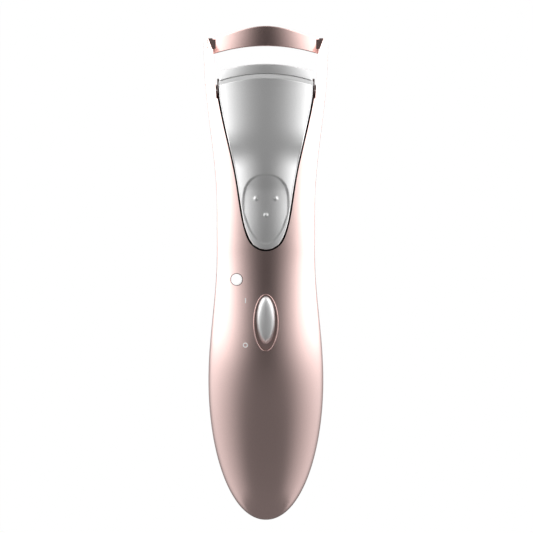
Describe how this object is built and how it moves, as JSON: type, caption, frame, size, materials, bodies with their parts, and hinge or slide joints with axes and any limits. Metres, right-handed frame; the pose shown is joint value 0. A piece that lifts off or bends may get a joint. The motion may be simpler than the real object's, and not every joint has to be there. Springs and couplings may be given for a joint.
{
  "type": "heated eyelash curler",
  "caption": "Battery heated eyelash curler with a thumb press lever, a sliding lower jaw, a curved upper bar, a slide switch and a battery cover.",
  "frame": {"origin": "centre of the grip, on the parting plane, 42 mm above the tip of the handle", "axes": "+Z along the handle towards the jaws, -Y the front with lever and switch, +X to the right seen from the front"},
  "size_m": [0.0366, 0.0251, 0.145],
  "materials": {
    "rose_gold": "satin metallic coating",
    "rose_gold_metal": "polished rose-gold plating",
    "silver_plate": "satin silver plating",
    "black_plastic": "fine texture",
    "brown_plastic": "fine texture",
    "heat_plastic": "heat-resistant moulding",
    "ceramic": "glazed",
    "silicone": "soft satin",
    "copper": "bright",
    "steel": "nickel-plated",
    "board": "solder mask",
    "lens": "milky",
    "cell": "printed sleeve",
    "lead": "insulation"
  },
  "bodies": {
    "housing": {"front_shell": "rose_gold", "rear_shell": "rose_gold", "inner_chassis": "black_plastic", "upper_bar": "rose_gold_metal", "bar_screws": "steel", "hinge_pins": "steel", "wiper_contacts": "copper", "circuit_board": "board", "board_screws": "steel", "slide_switch": "black_plastic", "switch_bezel": "rose_gold_metal", "lamp_lens": "lens", "led": "ceramic", "shell_screws": "steel", "aaa_cell": "cell", "contact_spring": "steel", "contact_plate": "steel", "battery_leads": "lead", "wiper_leads": "lead"},
    "battery_door": {"battery_cover": "rose_gold"},
    "press_lever": {"lever_cover": "silver_plate", "lever_frame": "brown_plastic"},
    "jaw": {"jaw_carriage": "heat_plastic", "jaw_cover": "silver_plate", "heater_plate": "ceramic", "silicone_pad": "silicone", "thermal_fuse": "ceramic", "contact_strips": "copper", "return_spring": "steel"},
    "switch": {"switch_knob": "silver_plate"}
  },
  "joints": [
    {"name": "lever_press", "type": "hinge", "parent": "housing", "child": "press_lever", "pos_m": [0, -0.003, 0.0851], "axis": [1, 0, 0], "range_deg": [0, 8], "stiffness_Nm_per_rad": 0.5},
    {"name": "jaw_slide", "type": "slide", "parent": "housing", "child": "jaw", "axis": [0, 0, 1], "range_m": [0, 0.005], "deforming": ["return_spring"]},
    {"name": "switch_slide", "type": "slide", "parent": "housing", "child": "switch", "axis": [0, 0, 1], "range_m": [-0.0019, 0]},
    {"name": "battery_cover_slide", "type": "slide", "parent": "housing", "child": "battery_door", "axis": [0, 0, -1], "range_m": [0, 0.064]}
  ],
  "couplings": [
    {"joint": "jaw_slide", "follows": "lever_press", "m_per_rad": 0.035809}
  ]
}
